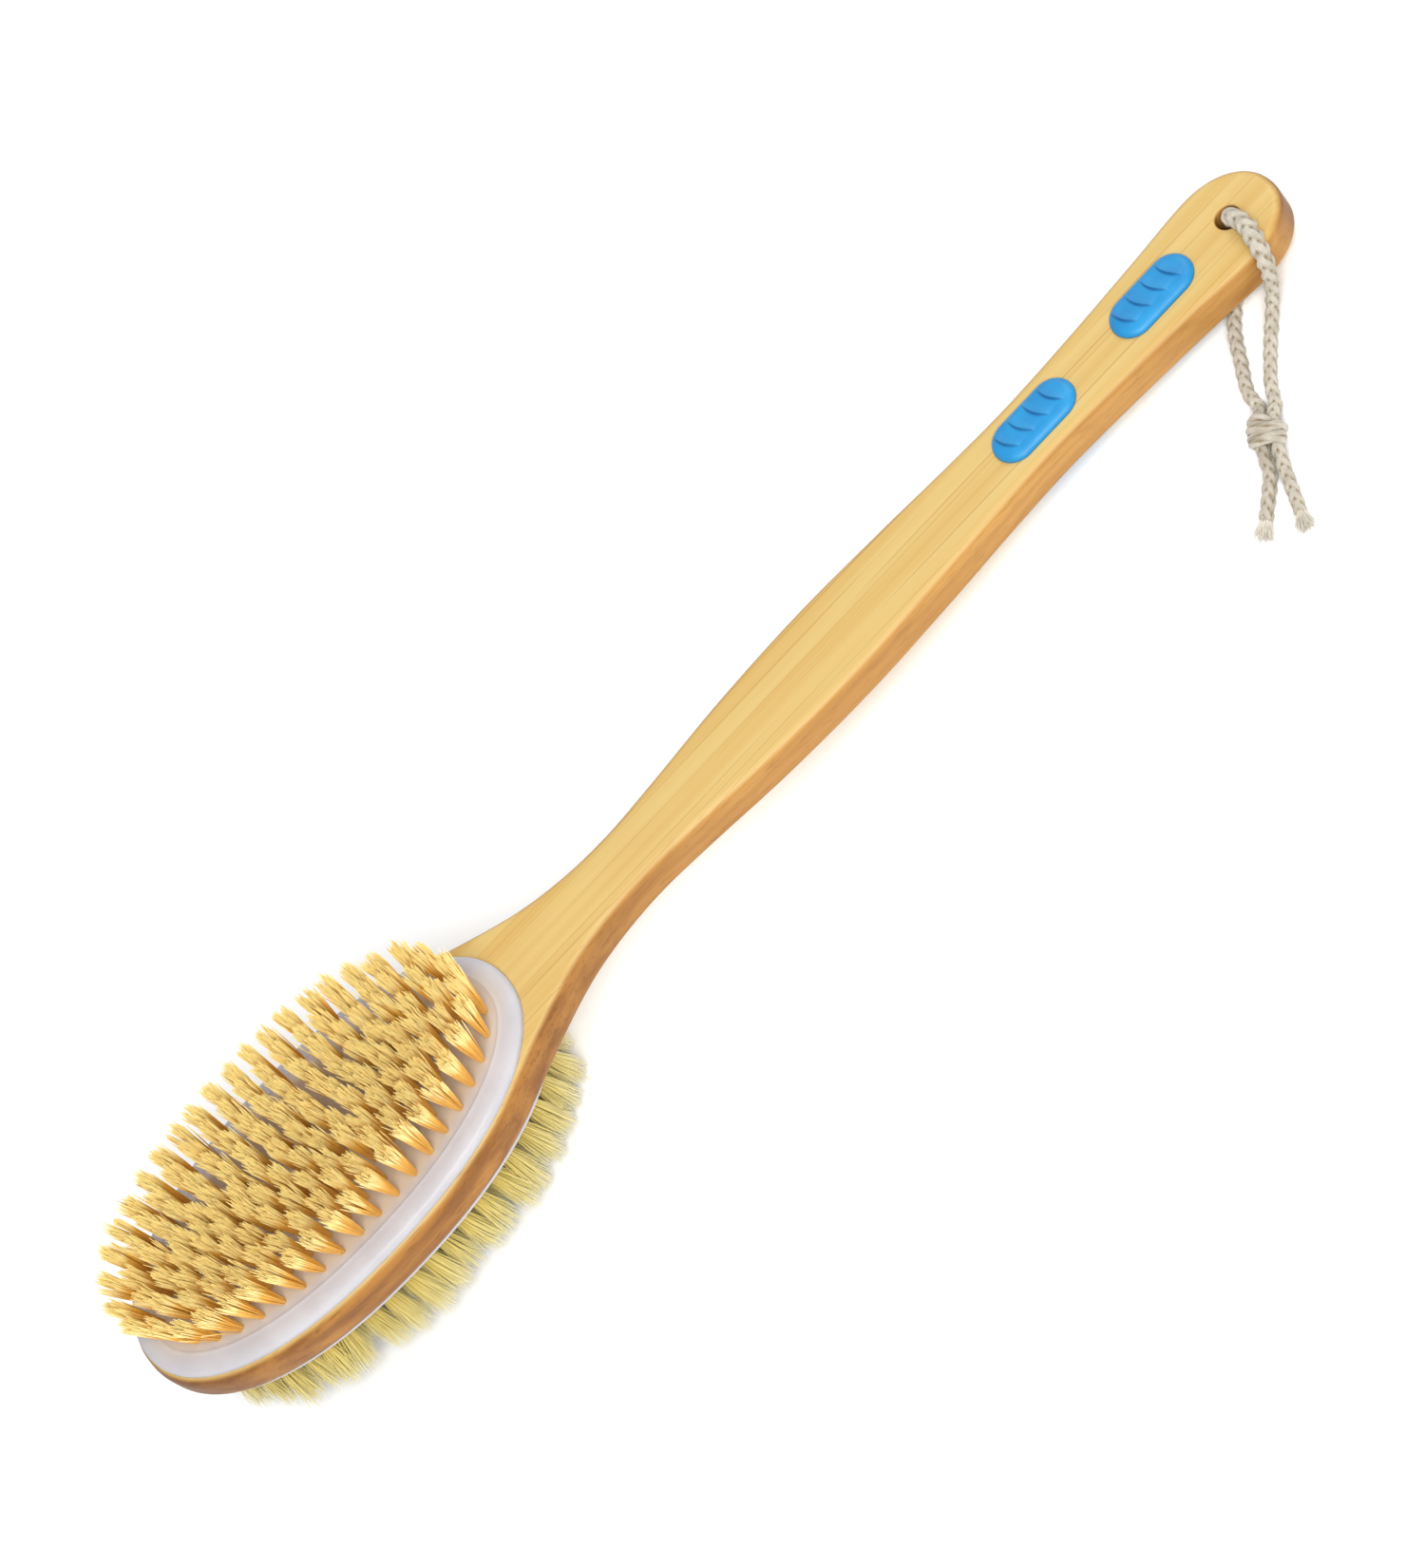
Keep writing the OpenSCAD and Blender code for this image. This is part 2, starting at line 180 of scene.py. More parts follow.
def above_table(points, gap):
    """The same points, with none lower than a gap above the table."""
    points[..., 2] = np.maximum(points[..., 2], gap)
    return points


def unit(v):
    """Vectors of length 1 with the same directions."""
    return v / np.maximum(np.linalg.norm(v, axis=-1, keepdims=True), 1e-12)


def ease(a, b, x):
    """A smooth step from 0 at a to 1 at b."""
    u = np.clip((x - a) / (b - a), 0, 1)
    return u * u * (3 - 2 * u)


def turn_steps(count):
    """Even angles once round."""
    return np.linspace(0, 2 * math.pi, count, endpoint=False)


def outline_normals(outline):
    """Outward normals of a closed plane outline that turns left."""
    d = np.roll(outline, -1, 0) - np.roll(outline, 1, 0)
    return unit(np.stack([d[:, 1], -d[:, 0]], -1))


def plate(outline, steps):
    """Rings of an outline, each drawn in and raised by its step, and the faces between."""
    normals = outline_normals(outline)
    rings = []
    for inset, height in steps:
        inset = np.broadcast_to(inset, len(outline))[:, None]
        ring = outline - normals * inset
        rings.append(np.column_stack([ring, np.broadcast_to(height, len(outline))]))
    return np.concatenate(rings), tube_faces(len(steps), len(outline))


OVAL_POWER = 2.2


def superellipse(a, b, t, power=OVAL_POWER):
    """Points at angles t of an oval with half-axes a and b, squarer than an ellipse."""
    c, s = np.cos(t), np.sin(t)
    x = a * np.sign(c) * abs(c) ** (2 / power)
    y = b * np.sign(s) * abs(s) ** (2 / power)
    return np.stack([x, y], -1)


def stadium(length, width, steps=40):
    """An outline with straight sides and round ends."""
    radius = width / 2
    ends = []
    for sign, start in ((1, -90), (-1, 90)):
        t = np.radians(np.linspace(start, start + 180, steps))
        ends.append(np.stack([sign * (length - width) / 2 + radius * np.cos(t), radius * np.sin(t)], -1))
    return np.concatenate(ends)


# ---------------------------------------------------------------- material helpers
def srgb(*seen):
    """A colour as seen, 0 to 255, as the linear colour that a shader takes."""
    shares = [value / 255 for value in seen]
    linear = [c / 12.92 if c <= 0.04045 else ((c + 0.055) / 1.055) ** 2.4 for c in shares]
    return (*linear, 1)


class Paint:
    """A material and its nodes. Every method from add down makes a node and gives its output."""

    def __init__(self, name):
        self.material = bpy.data.materials.new(name)
        self.material.use_nodes = True
        self.tree = self.material.node_tree
        self.shader = self.tree.nodes["Principled BSDF"]

    def set(self, **values):
        """Set the shader's own inputs, named with _ for a space."""
        for key, value in values.items():
            self.plug(self.shader, key.replace("_", " "), value)

    def plug(self, target, key, value):
        """Link another node's output to a node's input, or give that input a number or colour."""
        socket = target.inputs[key]
        if isinstance(value, bpy.types.NodeSocket):
            self.tree.links.new(value, socket)
        else:
            socket.default_value = value

    def add(self, kind, inputs=None, out=0, **settings):
        """Any node, with its inputs and settings."""
        made = self.tree.nodes.new("ShaderNode" + kind)
        for key, value in settings.items():
            setattr(made, key, value)
        for key, value in (inputs or {}).items():
            self.plug(made, key, value)
        return made.outputs[out]

    def place(self):
        """Position in metres."""
        return self.add("TexCoord", out="Object")

    def noise(self, scale, detail=3.0, rough=0.5, turn=0.0):
        """Noise with so much change a metre, the same or one number for each axis, turned about Y."""
        scales = scale if isinstance(scale, tuple) else (scale, scale, scale)
        turned = self.add("Mapping", {"Vector": self.place(), "Rotation": (0, -turn, 0)})
        stretched = self.add("Mapping", {"Vector": turned, "Scale": scales})
        return self.add("TexNoise", {"Vector": stretched, "Scale": 1, "Detail": detail, "Roughness": rough})

    def ramp(self, value, stops, curve="LINEAR"):
        """Numbers or colours by value, between stops of (value, number or colour)."""
        made = self.tree.nodes.new("ShaderNodeValToRGB")
        made.color_ramp.interpolation = curve
        while len(made.color_ramp.elements) < len(stops):
            made.color_ramp.elements.new(0.5)
        for element, (at, colour) in zip(made.color_ramp.elements, stops):
            element.position = at
            element.color = colour if hasattr(colour, "__len__") else (colour, colour, colour, 1)
        self.tree.links.new(value, made.inputs[0])
        return made.outputs[0]

    def mix(self, share, a, b):
        """Colour a, with a share of it replaced by colour b."""
        made = self.tree.nodes.new("ShaderNodeMix")
        made.data_type = "RGBA"
        self.plug(made, 0, share)
        self.plug(made, 6, a)
        self.plug(made, 7, b)
        return made.outputs[2]

    def math(self, kind, *values):
        """Arithmetic on one to three values."""
        return self.add("Math", dict(enumerate(values)), operation=kind)

    def times(self, a, b):
        """One value times another."""
        return self.math("MULTIPLY", a, b)

    def dot(self, vector, axis):
        """How far a vector reaches along an axis."""
        return self.add("VectorMath", {0: vector, 1: tuple(axis)}, out="Value", operation="DOT_PRODUCT")

    def field(self, name):
        """A number that the mesh carries at each point."""
        return self.add("Attribute", out="Fac", attribute_name=name)

    def bump(self, height, depth, strength):
        """A normal tilted by a height, which depth turns into metres."""
        return self.add("Bump", {"Height": height, "Distance": depth, "Strength": strength})


# ---------------------------------------------------------------- rope
ROPE_D = 4.0
ROPE_R = ROPE_D / 2
ROPE_STEP = 0.16
# Most that the front half swells where it bends over the wood, as a share of its thickness, and how
# many millimetres from its start it is swollen most and loses the swelling again.
ROPE_SWELL = 0.36
SWELL_FULL = 7
SWELL_FADES = (16, 42)
# Length of the frayed end, its yarns, and the loose hairs on a millimetre of rope and of knot.
FRAY = 3.6
FRAY_YARNS = 170
ROPE_HAIRS = 3.0
KNOT_HAIRS = 2.0
# Height of the rope's middle where it lies on the table, and inside the knot.
LIE = ROPE_R + 0.05
KNOT_Z = 4.3
# Direction of the knot's line on the table, and the way across it.
KNOT_TURN = math.radians(228)
KNOT_ALONG = np.array([math.cos(KNOT_TURN), math.sin(KNOT_TURN), 0])
KNOT_ACROSS = np.array([-math.sin(KNOT_TURN), math.cos(KNOT_TURN), 0])
# The knot's middle, in millimetres from the middle of the hanging hole.
KNOT_AT = np.array([-36.1, -46.9, 0])

# The wood's tail end and top face, and the middle of the hanging hole, in the brush's frame.
WOOD_LO, WOOD_HI = extent("bamboo_handle")
TAIL = WOOD_HI[0]
FACE_Z = WOOD_HI[2]
HOLE_INSET = 15
HOLE_X = TAIL - HOLE_INSET
# The hole's middle in the row frame, and the heights of its two mouths.
HOLE_MID = laid([HOLE_X, 0, 0]) / MM
TOP_Z = HOLE_MID[2] + FACE_Z * math.cos(TILT)
LOW_Z = HOLE_MID[2] - FACE_Z * math.cos(TILT)


def by_knot(along, across, z):
    """A point off the knot's middle along its line and across it, at a height."""
    return KNOT_AT + KNOT_ALONG * along + KNOT_ACROSS * across + (0, 0, z)


# Millimetres from the middle of the hanging hole, heights from the table.
FRONT_ROUTE = [
    [1, 0.8, HOLE_MID[2]], [1.1, 0, TOP_Z - 3], [1.1, -1.5, TOP_Z + 0.4], [1.5, -4.6, TOP_Z + 2.6],
    [1.5, -8.7, TOP_Z + 3], [0.3, -12.9, TOP_Z + 2.6], [-1.7, -17, TOP_Z + 0.4],
    [-3.8, -19, TOP_Z - 4], [-6.1, -19.8, TOP_Z - 8.2],
    [-9.1, -20.9, TOP_Z - 11.6], [-13, -23.3, LIE + 0.8], [-17.6, -27.1, LIE],
    [-25, -34.8, LIE], by_knot(-9, ROPE_R - 0.6, LIE + 0.5), by_knot(-5, ROPE_R - 0.4, KNOT_Z),
    by_knot(0, ROPE_R + 0.12, KNOT_Z), by_knot(5, ROPE_R + 0.6, KNOT_Z),
    by_knot(10, ROPE_R + 1.3, LIE + 0.3), [-44, -64, LIE], [-48.2, -72.6, LIE],
]
BACK_ROUTE = [
    [1, 0.8, HOLE_MID[2]], [0.9, 0.7, LOW_Z + 3.6], [-0.4, 0, LOW_Z + 0.5], [-3, -1.6, LIE + 0.3],
    [-7, -4, LIE], [-14, -9, LIE], [-20.6, -15.4, LIE], [-25.8, -23.4, LIE],
    [-30.8, -31.4, LIE], by_knot(-9, -ROPE_R - 0.9, LIE + 0.5), by_knot(-5, -ROPE_R - 0.65, KNOT_Z),
    by_knot(0, -ROPE_R - 0.12, KNOT_Z), by_knot(5, -ROPE_R + 0.35, KNOT_Z),
    by_knot(10, -ROPE_R + 1, LIE + 0.2), [-47.4, -57.2, LIE], [-57, -65, LIE],
]


CURVE_STEPS = 24


def smooth_line(route):
    """Even points along the smooth curve through a route."""
    r = np.array([list(p) for p in route], float)
    padded = np.concatenate([r[:1], r, r[-1:]])
    u = np.linspace(0, 1, CURVE_STEPS, endpoint=False)[:, None]
    parts = []
    for i in range(len(r) - 1):
        a, b, c, d = padded[i:i + 4]
        doubled = 2 * b + (c - a) * u + (2 * a - 5 * b + 4 * c - d) * u**2 + (3 * b - a - 3 * c + d) * u**3
        parts.append(0.5 * doubled)
    line = np.concatenate(parts + [r[-1:]])
    run = np.concatenate([[0], np.cumsum(np.linalg.norm(np.diff(line, axis=0), axis=1))])
    even = np.linspace(0, run[-1], int(run[-1] / ROPE_STEP) + 1)
    return np.stack([np.interp(even, run, line[:, i]) for i in range(3)], -1)


def sweep_frames(line):
    """Directions along a line, and two across it that turn as little as they can."""
    ahead = unit(np.gradient(line, axis=0))
    not_ahead = (0.3, 0.8, 0.5)
    first = np.cross(ahead[0], not_ahead)
    across = [first / np.linalg.norm(first)]
    for t in ahead[1:]:
        n = across[-1] - t * (across[-1] @ t)
        across.append(n / np.linalg.norm(n))
    across = np.array(across)
    return ahead, across, np.cross(ahead, across)


# Four strands wind each way. Heights are shares of the rope's radius.
STRANDS = 4
BRAID_PITCH = 15.0
BRAID_ROUND = 80
STRAND_FILL = 0.97
STRAND_START = 0.3
CORE_H = 0.58
VALLEY_H = 0.6
WEAVE_H = 0.14
CROWN_H = 0.3
# Height of the yarns' ridges in a strand, in millimetres, and their turns across and along it.
YARN_H = 0.05
YARN_ACROSS = 8.0
YARN_ALONG = 0.9
# Roughness of the cotton in millimetres.
ROUGH_H = 0.012
# A cut end is drawn in by this share over this many millimetres.
END_PINCH = 0.3
END_REACH = 0.6


def braid(line, radii, seed, pitch=BRAID_PITCH):
    """A braided rope about a line: points, faces, and how far out in the braid each point lies."""
    _, a, b = sweep_frames(line)
    n = len(line)
    step = np.linalg.norm(line[1] - line[0])
    radius = np.broadcast_to(radii, n)[:, None]
    s = np.arange(n)[:, None] * step
    theta = np.arange(BRAID_ROUND)[None, :] * 2 * math.pi / BRAID_ROUND
    turn = 2 * math.pi * s / pitch
    gap = 2 * math.pi / STRANDS
    slant = math.cos(math.atan2(2 * math.pi * ROPE_R, pitch))
    half = 0.5 * gap * slant * radius * STRAND_FILL
    tallest = radius * np.full_like(theta, CORE_H)
    for sense in (1, -1):
        phase = (theta - sense * turn + STRAND_START * sense) / gap
        strand = np.round(phase)
        off = (phase - strand) * gap * radius * slant
        over = sense * np.cos(2 * turn + math.pi * strand)
        crown = np.cos(np.clip(off / half, -1, 1) * math.pi / 2) ** 0.7
        yarn = YARN_H * np.cos(off / half * YARN_ACROSS + YARN_ALONG * s)
        height = radius * (VALLEY_H + WEAVE_H * over + CROWN_H * crown) + yarn * crown
        tallest = np.where(crown > 0, np.maximum(tallest, height), tallest)
    tallest = tallest + np.random.default_rng(seed).normal(0, ROUGH_H, tallest.shape)
    to_end = np.minimum(np.arange(n), np.arange(n)[::-1])[:, None] * step
    tallest = tallest * (1 - END_PINCH * np.exp(-to_end / END_REACH))
    ring = a[:, None, :] * np.cos(theta)[..., None] + b[:, None, :] * np.sin(theta)[..., None]
    points = above_table(line[:, None, :] + ring * tallest[..., None], 0.04)
    depth = np.clip((tallest / radius - VALLEY_H) / (1 - VALLEY_H), 0, 1)
    return points.reshape(-1, 3), tube_faces(n, BRAID_ROUND), depth.ravel()


THREAD_SIDES = 3


def fibres(paths, radii):
    """Tapered threads: paths (thread, step, 3) and radii (thread, step), one closed tube each."""
    count, steps, _ = paths.shape
    chord = unit(paths[:, -1] - paths[:, 0])
    helper = np.where(abs(chord[:, :1]) < 0.8, [[1.0, 0, 0]], [[0, 1.0, 0]])
    a = unit(np.cross(chord, helper))
    b = np.cross(chord, a)
    corner = np.arange(THREAD_SIDES)
    t = corner * 2 * math.pi / THREAD_SIDES
    ring = a[:, None, None, :] * np.cos(t)[:, None] + b[:, None, None, :] * np.sin(t)[:, None]
    points = paths[:, :, None, :] + ring * radii[:, :, None, None]
    base = (np.arange(count) * steps * THREAD_SIDES)[:, None]
    quads = (ring_quads(steps, THREAD_SIDES) + base[:, None]).reshape(-1, 4)
    ends = np.concatenate([corner[::-1] + base, corner + (steps - 1) * THREAD_SIDES + base])
    return points.reshape(-1, 3), [quads, ends]


# The depth given to hairs and to frayed yarns, where the crown of a strand has 1.
HAIR_DEPTH = 0.95
FRAY_DEPTH = 2.0


def fuzz(line, radius, per_mm, local):
    """Short loose hairs that stand off a rope."""
    ahead, a, b = sweep_frames(line)
    count = int(len(line) * np.linalg.norm(line[1] - line[0]) * per_mm)
    at = local.integers(0, len(line), count)
    t = local.uniform(0, 2 * math.pi, count)[:, None]
    out = a[at] * np.cos(t) + b[at] * np.sin(t)
    around = np.cross(ahead[at], out)
    root = line[at] + out * radius * 0.8
    lean = ahead[at] * local.normal(0, 0.9, (count, 1)) + around * local.normal(0, 0.7, (count, 1))
    reach = local.uniform(0.35, 1.1, (count, 1))
    mid = root + (out * 0.55 + lean * 0.4) * reach * 0.7
    tip = mid + (out * 0.15 + lean * 0.7) * reach * 0.7
    paths = above_table(np.stack([root, mid, tip], 1), 0.06)
    radii = np.array([0.045, 0.035, 0.02]) * np.ones((count, 1))
    return fibres(paths, radii)


def fray(line, count, local):
    """The opened end of a rope: loose yarns that fan out and settle on the table."""
    ahead, a, b = sweep_frames(line)
    t = local.uniform(0, 2 * math.pi, (count, 1))
    r = np.sqrt(local.uniform(0.02, 1, (count, 1))) * 1.5
    out = a[-1] * np.cos(t) + b[-1] * np.sin(t)
    tucked = 1.6
    steps = np.array([-FRAY - tucked, -FRAY, -FRAY * 0.6, -FRAY * 0.25, 0.3])
    length = local.uniform(-0.5, 0.25, (count, 1)) * FRAY
    wander = local.normal(0, 0.45, (count, 3))
    rows = []
    for step in steps:
        spread = (step + FRAY + tucked) / (FRAY + tucked + 0.3)
        row = line[-1] + ahead[-1] * (step + length * spread**2)
        row = row + out * r * (0.85 + 0.7 * spread**1.3) + wander * spread**2
        rows.append(row)
    paths = above_table(np.stack(rows, 1), 0.12)
    radii = np.array([0.22, 0.22, 0.2, 0.17, 0.08]) * local.uniform(0.7, 1.2, (count, 1))
    return fibres(paths, radii)


# Fibres and braids keep their small faces flat where they turn by more than this, in degrees.
FIBRE_CREASE = 60


def rope_piece(name, node, braided, hairs):
    """A braid and its loose hairs as one piece."""
    braid_points, braid_faces, depth = braided
    points, faces = merged([(braid_points, braid_faces), hairs])
    depth = np.append(depth, np.full(len(hairs[0]), HAIR_DEPTH))
    return build(name, points * MM, faces, "rope_cotton", node, attributes={"depth": depth},
                 crease=FIBRE_CREASE)


def make_rope(name, route, swelling, seed):
    """Half of the hanging rope with its loose hairs, and its frayed end as a piece of its own."""
    local = np.random.default_rng(seed)
    line = smooth_line(np.array([list(p) for p in route]) + (HOLE_MID[0], 0, 0))
    run = np.arange(len(line)) * np.linalg.norm(line[1] - line[0])
    swell = 1 + swelling * ease(0, SWELL_FULL, run) * (1 - ease(*SWELL_FADES, run))
    body = run < run[-1] - FRAY
    node = f"rope_{name}"
    braided = braid(line[body], ROPE_R * swell[body], seed)
    piece = rope_piece(f"{node}_braid", node, braided, fuzz(line[body], ROPE_R, ROPE_HAIRS, local))
    points, faces = fray(line, FRAY_YARNS, local)
    tassel = build(f"{node}_fray", points * MM, faces, "rope_cotton", attributes={"depth": FRAY_DEPTH},
                   crease=FIBRE_CREASE)
    return piece, tassel, line[body], run[body][-1]


# The wrapped rope: turns, length along the knot, distance from the knot's line and how much more
# it is in the middle, how far a turn slants, and the height of the knot's middle.
KNOT_TURNS = 2.6
KNOT_L = 7.4
WRAP_R = 3.0
WRAP_BULGE = 0.75
WRAP_SLANT = 1.1
WRAP_Z = 5.6
# Radius of the rope in the knot, which the knot squeezes, and length of one turn of its strands.
KNOT_ROPE_R = 1.85
KNOT_PITCH = 34.0


def make_knot():
    """The overhand knot: rope laid round both halves in slanting turns, ends tucked in."""
    u = np.linspace(0, 1, 80)
    angle = u * KNOT_TURNS * 2 * math.pi + math.radians(60)
    bulge = WRAP_R + WRAP_BULGE * np.sin(math.pi * u) ** 0.6
    tucked = np.minimum(1, np.minimum(u, 1 - u) * 9 + 0.45)
    away = bulge * tucked
    along = (u - 0.5) * KNOT_L + WRAP_SLANT * np.sin(angle + 0.6)
    up = np.array([0, 0, 1])
    ring = KNOT_ACROSS * (away * np.cos(angle))[:, None] + up * (away * np.sin(angle))[:, None]
    middle = by_knot(0, 0, WRAP_Z) + (HOLE_MID[0], 0, 0)
    line = smooth_line(middle + KNOT_ALONG * along[:, None] + ring)
    braided = braid(line, KNOT_ROPE_R, 5, KNOT_PITCH)
    hairs = fuzz(line, KNOT_ROPE_R, KNOT_HAIRS, np.random.default_rng(7))
    return rope_piece("rope_knot_wrap", "rope_knot", braided, hairs)


knot = make_knot()
front, front_fray, front_line, front_length = make_rope("front", FRONT_ROUTE, ROPE_SWELL, 11)
back, back_fray, back_line, back_length = make_rope("back", BACK_ROUTE, ROPE_SWELL / 4, 12)


# ---------------------------------------------------------------- bamboo
# Half the head's length and half its width.
HEAD_L = -WOOD_LO[0]
HEAD_W = WOOD_HI[1]
NECK_W, BELLY_W, WAIST_W, TAIL_W = 19.4, 28.6, 23.4, 30.4
TAIL_ROUND = 19
TAIL_POWER = 2.15
# How far in and how far down the edges are rounded on the head and on the handle.
HEAD_EDGE = np.array([2, 4.6])
HANDLE_EDGE = np.array([2.5, 2.6])
HOLE_R = 3.5
HOLE_ROUND = 72
MOUTH_ROUND = 0.8
WOOD_CREASE = 28
# Where the handle's curve leaves the head's oval, and where the round of the tail begins.
SHAFT_X = HEAD_L * 0.66
TAIL_X = TAIL - TAIL_ROUND


def head_w(x):
    """Half-width of the head's oval."""
    return HEAD_W * (1 - (abs(x) / HEAD_L) ** OVAL_POWER) ** (1 / OVAL_POWER)


# Places along the handle and its half-widths there.
STATIONS = np.array([
    (SHAFT_X, head_w(SHAFT_X)),
    (TAIL * 0.181, HEAD_W * 0.57),
    (TAIL * 0.231, NECK_W * 0.72),
    (TAIL * 0.271, NECK_W * 0.56),
    (TAIL * 0.315, NECK_W * 0.5),
    (TAIL * 0.362, NECK_W * 0.55),
    (TAIL * 0.446, BELLY_W * 0.465),
    (TAIL * 0.533, BELLY_W * 0.5),
    (TAIL * 0.618, BELLY_W * 0.463),
    (TAIL * 0.696, WAIST_W * 0.502),
    (TAIL * 0.752, WAIST_W * 0.48),
    (TAIL * 0.822, WAIST_W * 0.52),
    (TAIL * 0.891, TAIL_W * 0.452),
    (TAIL_X, TAIL_W * 0.5),
])


def handle_w(x):
    """Half-width of the handle behind the head: a smooth curve through its stations."""
    at, w = STATIONS.T
    slopes = np.empty(len(at))
    slopes[1:-1] = (w[2:] - w[:-2]) / (at[2:] - at[:-2])
    slopes[0] = head_w(SHAFT_X + 0.5) - head_w(SHAFT_X - 0.5)
    slopes[-1] = 0.02
    i = np.clip(np.searchsorted(at, x, "right") - 1, 0, len(at) - 2)
    h = at[i + 1] - at[i]
    u = (x - at[i]) / h
    return ((2 * u**3 - 3 * u**2 + 1) * w[i] + (u**3 - 2 * u**2 + u) * h * slopes[i]
            + (3 * u**2 - 2 * u**3) * w[i + 1] + (u**3 - u**2) * h * slopes[i + 1])


def handle_outline():
    """The whole outline, from the tail's end along +Y, round the head and back."""
    t = np.radians(np.arange(0, 90, 2.5))
    tail = superellipse(TAIL_ROUND, TAIL_W / 2, t, TAIL_POWER) + (TAIL_X, 0)
    x = np.linspace(TAIL_X, SHAFT_X, 170, endpoint=False)
    shaft = np.stack([x, handle_w(x)], -1)
    start = math.acos((SHAFT_X / HEAD_L) ** (OVAL_POWER / 2))
    head = superellipse(HEAD_L, HEAD_W, np.linspace(start, math.pi, 110))
    half = np.concatenate([tail, shaft, head])
    return np.concatenate([half, (half[1:-1] * (1, -1))[::-1]])


# Half the length and half the width of a pad, the height of its top, and the depth of its seat.
PAD_A, PAD_B, PAD_TOP = extent("stiff_bristle_pad")[1]
PAD_SEAT = 1.0
GRIPS = [extent("grip_top_front"), extent("grip_top_rear")]
GRIP_L, GRIP_W, _ = GRIPS[0][1] - GRIPS[0][0]
GRIP_SEAT = FACE_Z - GRIPS[0][0][2]
GRIP_X = [(low[0] + high[0]) / 2 for low, high in GRIPS]
# Cutters run this far past the wood's faces, and seats are this much wider than what sits in them.
CUT_PAST = 2
PAD_GAP = 0.03
GRIP_GAP = 0.1


def prism(outline, low, high):
    """An outline drawn up from one height to another."""
    return plate(outline, [(0, low), (0, high)])


def hole_cutter():
    """The hanging hole with rounded mouths."""
    bend = np.radians([0, 22.5, 45, 67.5, 90])
    reach = [HOLE_R + MOUTH_ROUND * (1 - math.cos(a)) for a in bend] + [HOLE_R + 3 * MOUTH_ROUND]
    height = [FACE_Z - MOUTH_ROUND * (1 - math.sin(a)) for a in bend] + [FACE_Z + CUT_PAST]
    top = list(zip(reach, height))
    profile = [(r, -z) for r, z in reversed(top)] + top
    t = turn_steps(HOLE_ROUND)
    rings = [np.column_stack([HOLE_X + r * np.cos(t), r * np.sin(t), np.full(len(t), z)]) for r, z in profile]
    return np.concatenate(rings), tube_faces(len(profile), len(t))


def make_handle():
    """Head core and handle in one piece of bamboo, with its seats and its hole cut."""
    outline = handle_outline()
    edge = HEAD_EDGE + (HANDLE_EDGE - HEAD_EDGE) * ease(50, 120, outline[:, :1])
    bend = np.radians(np.linspace(0, 90, 12))
    upper = [(edge[:, 0] * (1 - math.cos(a)), FACE_Z - edge[:, 1] * (1 - math.sin(a))) for a in bend]
    steps = [(inset, -z) for inset, z in reversed(upper)] + upper
    points, faces = plate(outline, steps)
    wood = build("bamboo_body", laid(points), faces, "bamboo", "bamboo_handle")
    pad = superellipse(PAD_A + PAD_GAP, PAD_B + PAD_GAP, turn_steps(200))
    grip = stadium(GRIP_L + GRIP_GAP, GRIP_W + GRIP_GAP)
    seats = [prism(pad, FACE_Z - PAD_SEAT, FACE_Z + CUT_PAST)]
    for x in GRIP_X:
        seats.append(prism(grip + (x, 0), FACE_Z - GRIP_SEAT, FACE_Z + CUT_PAST))
    cuts = [hole_cutter()]
    for side in (1, -1):
        cuts += [(on_side(seat, side), seat_faces) for seat, seat_faces in seats]
    points, faces = merged(cuts)
    cutter = build("cutter", laid(points), faces, None)
    cut = wood.modifiers.new("cut", "BOOLEAN")
    cut.operation = "DIFFERENCE"
    cut.solver = "EXACT"
    cut.object = cutter
    graph = bpy.context.evaluated_depsgraph_get()
    mesh = bpy.data.meshes.new_from_object(wood.evaluated_get(graph))
    wood.modifiers.clear()
    wood.data = mesh
    bpy.data.objects.remove(cutter)
    mesh.shade_smooth()
    mesh.set_sharp_from_angle(angle=math.radians(WOOD_CREASE))
    return wood


# ---------------------------------------------------------------- pads
# Straight wall above the wood, width of the rounded rim, and how far the middle lies below the top.
PAD_WALL = 1.1
PAD_RIM = 5
FIELD_DROP = 0.3
# The bead: distance from the edge, width and height, and how far its foot lies below the top.
BEAD_AT = 5.6
BEAD_W = 0.9
BEAD_H = 0.2
BEAD_DROP = 0.25


def make_pad(name, node, side):
    """A plastic bristle pad: rounded rim, a fine bead inside it, and a flat field."""
    outline = superellipse(PAD_A, PAD_B, turn_steps(260))
    rise = PAD_TOP - FACE_Z - PAD_WALL
    wall = [(0.6, FACE_Z - PAD_SEAT), (0, FACE_Z - 0.6), (0, FACE_Z + 0.5)]
    bend = np.radians(np.linspace(0, 84, 12))
    rim = [(PAD_RIM * (1 - math.cos(a)), FACE_Z + PAD_WALL + (rise - BEAD_DROP) * math.sin(a)) for a in bend]
    bead = [(BEAD_AT + BEAD_W * b, PAD_TOP - BEAD_DROP + BEAD_H * math.cos(b * math.pi / 2) ** 2)
            for b in np.linspace(-0.6, 1, 9)]
    field = [(7.4, PAD_TOP - 0.27), (9.0, PAD_TOP - FIELD_DROP)]
    points, faces = plate(outline, wall + rim + bead + field)
    return build(name, laid(on_side(points, side)), faces, "pad_plastic", node, crease=50)


# ---------------------------------------------------------------- tufts
RINGS = 5
PAD_BAND = 9.2
RING_GAP = 6.4
RING_A = PAD_A - PAD_BAND
RING_B = PAD_B - PAD_BAND
TUFT_PITCH = 6.9
# The innermost ring is a line of this many tufts, a little further apart.
LINE_COUNT = 10
LINE_PITCH = TUFT_PITCH + 0.4
SPLAY = 8.5
LEANS = np.array([1, 0.72, 0.45, 0.2, 0]) * SPLAY
# Tufts lean out square to their ring, but by this factor more towards the head's two ends.
END_PULL = 1.6
